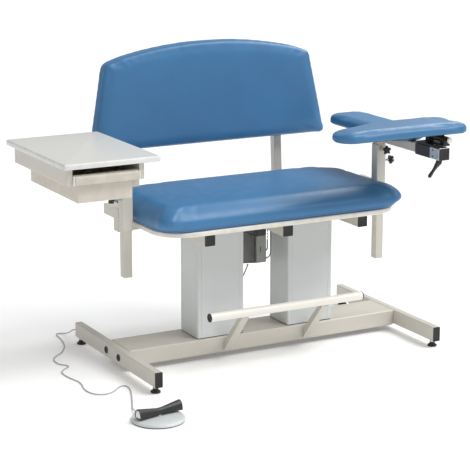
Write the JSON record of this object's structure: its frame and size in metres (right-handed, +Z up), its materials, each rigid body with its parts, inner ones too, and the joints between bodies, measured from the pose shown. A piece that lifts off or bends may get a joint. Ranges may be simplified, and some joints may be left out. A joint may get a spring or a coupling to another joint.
{
  "type": "blood drawing chair",
  "caption": "Extra-wide blood-drawing chair with a powered lifting seat, drawer tray, side pad, flip-up arm pad, footrest bar and corded rocker foot switch.",
  "frame": {"origin": "middle of the chair's footprint at floor level, measured without the foot switch cord", "axes": "+Z up, the chair faces -Y, +X to the right as seen from the front, towards the flip-up arm pad's side"},
  "size_m": [1.526, 1.1689, 1.1252],
  "materials": {
    "frame_paint": "satin light grey-beige powder coat",
    "column_paint": "satin cool light grey powder coat",
    "bar_paint": "satin off-white powder coat",
    "black_plastic": "matt black",
    "blue_vinyl": "semi-gloss mid-blue upholstery vinyl",
    "board_laminate": "off-white edged board",
    "tray_laminate": "smooth light grey laminate",
    "drawer_plastic": "warm light beige moulding",
    "aluminium": "cast and extruded, bare",
    "switch_plastic": "light grey moulding",
    "box_plastic": "dark grey moulding",
    "grey_rubber": "smooth light grey sheath"
  },
  "bodies": {
    "base": {"leg_left": "frame_paint", "leg_right": "frame_paint", "leg_cap_left": "black_plastic", "leg_cap_right": "black_plastic", "base_channel": "frame_paint", "footrest_bar": "bar_paint", "footrest_brace_left": "frame_paint", "footrest_brace_right": "frame_paint", "column_inner_left": "aluminium", "column_inner_right": "aluminium", "lift_actuator_left": "black_plastic", "lift_actuator_right": "black_plastic", "cord_gland": "black_plastic", "foot_switch_base": "switch_plastic", "foot_switch_cord": "grey_rubber"},
    "foot_front_left": {"foot_front_left": "black_plastic"},
    "foot_rear_left": {"foot_rear_left": "black_plastic"},
    "foot_front_right": {"foot_front_right": "black_plastic"},
    "foot_rear_right": {"foot_rear_right": "black_plastic"},
    "pedal": {"foot_pedal": "black_plastic"},
    "seat": {"column_cover_left": "column_paint", "column_cover_right": "column_paint", "seat_tube_left": "frame_paint", "seat_tube_middle": "frame_paint", "seat_tube_right": "frame_paint", "seat_tube_cap_left": "black_plastic", "seat_tube_cap_middle": "black_plastic", "seat_tube_cap_right": "black_plastic", "seat_board": "board_laminate", "seat_cushion": "blue_vinyl", "back_cushion": "blue_vinyl", "back_board": "blue_vinyl", "back_post_left": "frame_paint", "back_post_right": "frame_paint", "arm_sleeve_left": "frame_paint", "arm_sleeve_right": "frame_paint", "control_box": "box_plastic", "motor_lead_left": "black_plastic", "motor_lead_right": "black_plastic"},
    "left_arm": {"arm_post_left": "frame_paint", "tray_top": "tray_laminate", "drawer_cabinet": "frame_paint", "cabinet_rail": "frame_paint"},
    "drawer": {"drawer_tub": "drawer_plastic", "drawer_pull": "drawer_plastic"},
    "right_arm": {"arm_post_right": "frame_paint", "arm_tube": "frame_paint", "arm_tube_cap": "black_plastic", "arm_collar": "black_plastic", "clamp_block": "aluminium", "side_pad": "blue_vinyl"},
    "swivel": {"swivel_bracket": "black_plastic"},
    "flip": {"flip_hinge_leaf": "black_plastic", "flip_pad": "blue_vinyl"},
    "plunger": {"plunger_ring_knob": "switch_plastic"},
    "lever": {"clamp_lever": "black_plastic"},
    "knob_left_rear": {"knob_left_rear": "black_plastic"},
    "knob_left_side": {"knob_left_side": "black_plastic"},
    "knob_right_front": {"knob_right_front": "black_plastic"},
    "knob_right_side": {"knob_right_side": "black_plastic"}
  },
  "joints": [
    {"name": "seat_lift", "type": "slide", "parent": "base", "child": "seat", "axis": [0, 0, 1], "range_m": [0, 0.2]},
    {"name": "left_arm_height", "type": "slide", "parent": "seat", "child": "left_arm", "axis": [0, 0, 1], "range_m": [-0.04, 0.12]},
    {"name": "right_arm_height", "type": "slide", "parent": "seat", "child": "right_arm", "axis": [0, 0, 1], "range_m": [-0.008, 0.2]},
    {"name": "drawer_slide", "type": "slide", "parent": "left_arm", "child": "drawer", "axis": [0, -1, 0], "range_m": [0, 0.3]},
    {"name": "pad_swivel", "type": "hinge", "parent": "right_arm", "child": "swivel", "pos_m": [0.655, -0.29252, 0.8128], "axis": [0, 0, -1], "range_deg": [-100, 0]},
    {"name": "pad_flip", "type": "hinge", "parent": "swivel", "child": "flip", "pos_m": [0.6845, -0.23452, 0.8128], "axis": [0, 1, 0], "range_deg": [0, 90]},
    {"name": "plunger_pull", "type": "slide", "parent": "swivel", "child": "plunger", "axis": [0, -1, 0], "range_m": [0, 0.008], "stiffness_N_per_m": 600},
    {"name": "clamp_lever_turn", "type": "hinge", "parent": "right_arm", "child": "lever", "pos_m": [0.655, -0.29252, 0.736], "axis": [0, 0, 1], "range_deg": [-60, 60]},
    {"name": "foot_pedal_rock", "type": "hinge", "parent": "base", "child": "pedal", "pos_m": [-0.58, -0.47152, 0.0215], "axis": [-0.1616, 0.9869, 0], "range_deg": [-3, 3], "stiffness_Nm_per_rad": 1.5},
    {"name": "knob_left_rear_turn", "type": "hinge", "parent": "seat", "child": "knob_left_rear", "pos_m": [-0.425, 0.13528, 0.675], "axis": [0, 1, 0], "range_deg": [-180, 180]},
    {"name": "knob_left_side_turn", "type": "hinge", "parent": "seat", "child": "knob_left_side", "pos_m": [-0.4453, 0.11498, 0.628], "axis": [-1, 0, 0], "range_deg": [-180, 180]},
    {"name": "knob_right_front_turn", "type": "hinge", "parent": "seat", "child": "knob_right_front", "pos_m": [0.655, 0.09468, 0.717], "axis": [0, -1, 0], "range_deg": [-180, 180]},
    {"name": "knob_right_side_turn", "type": "hinge", "parent": "seat", "child": "knob_right_side", "pos_m": [0.6753, 0.11498, 0.668], "axis": [1, 0, 0], "range_deg": [-180, 180]},
    {"name": "foot_front_left_turn", "type": "hinge", "parent": "base", "child": "foot_front_left", "pos_m": [-0.47, -0.21552, 0], "axis": [0, 0, 1], "range_deg": [-180, 180]},
    {"name": "foot_rear_left_turn", "type": "hinge", "parent": "base", "child": "foot_rear_left", "pos_m": [-0.47, 0.43848, 0], "axis": [0, 0, 1], "range_deg": [-180, 180]},
    {"name": "foot_front_right_turn", "type": "hinge", "parent": "base", "child": "foot_front_right", "pos_m": [0.7, -0.21552, 0], "axis": [0, 0, 1], "range_deg": [-180, 180]},
    {"name": "foot_rear_right_turn", "type": "hinge", "parent": "base", "child": "foot_rear_right", "pos_m": [0.7, 0.43848, 0], "axis": [0, 0, 1], "range_deg": [-180, 180]}
  ]
}
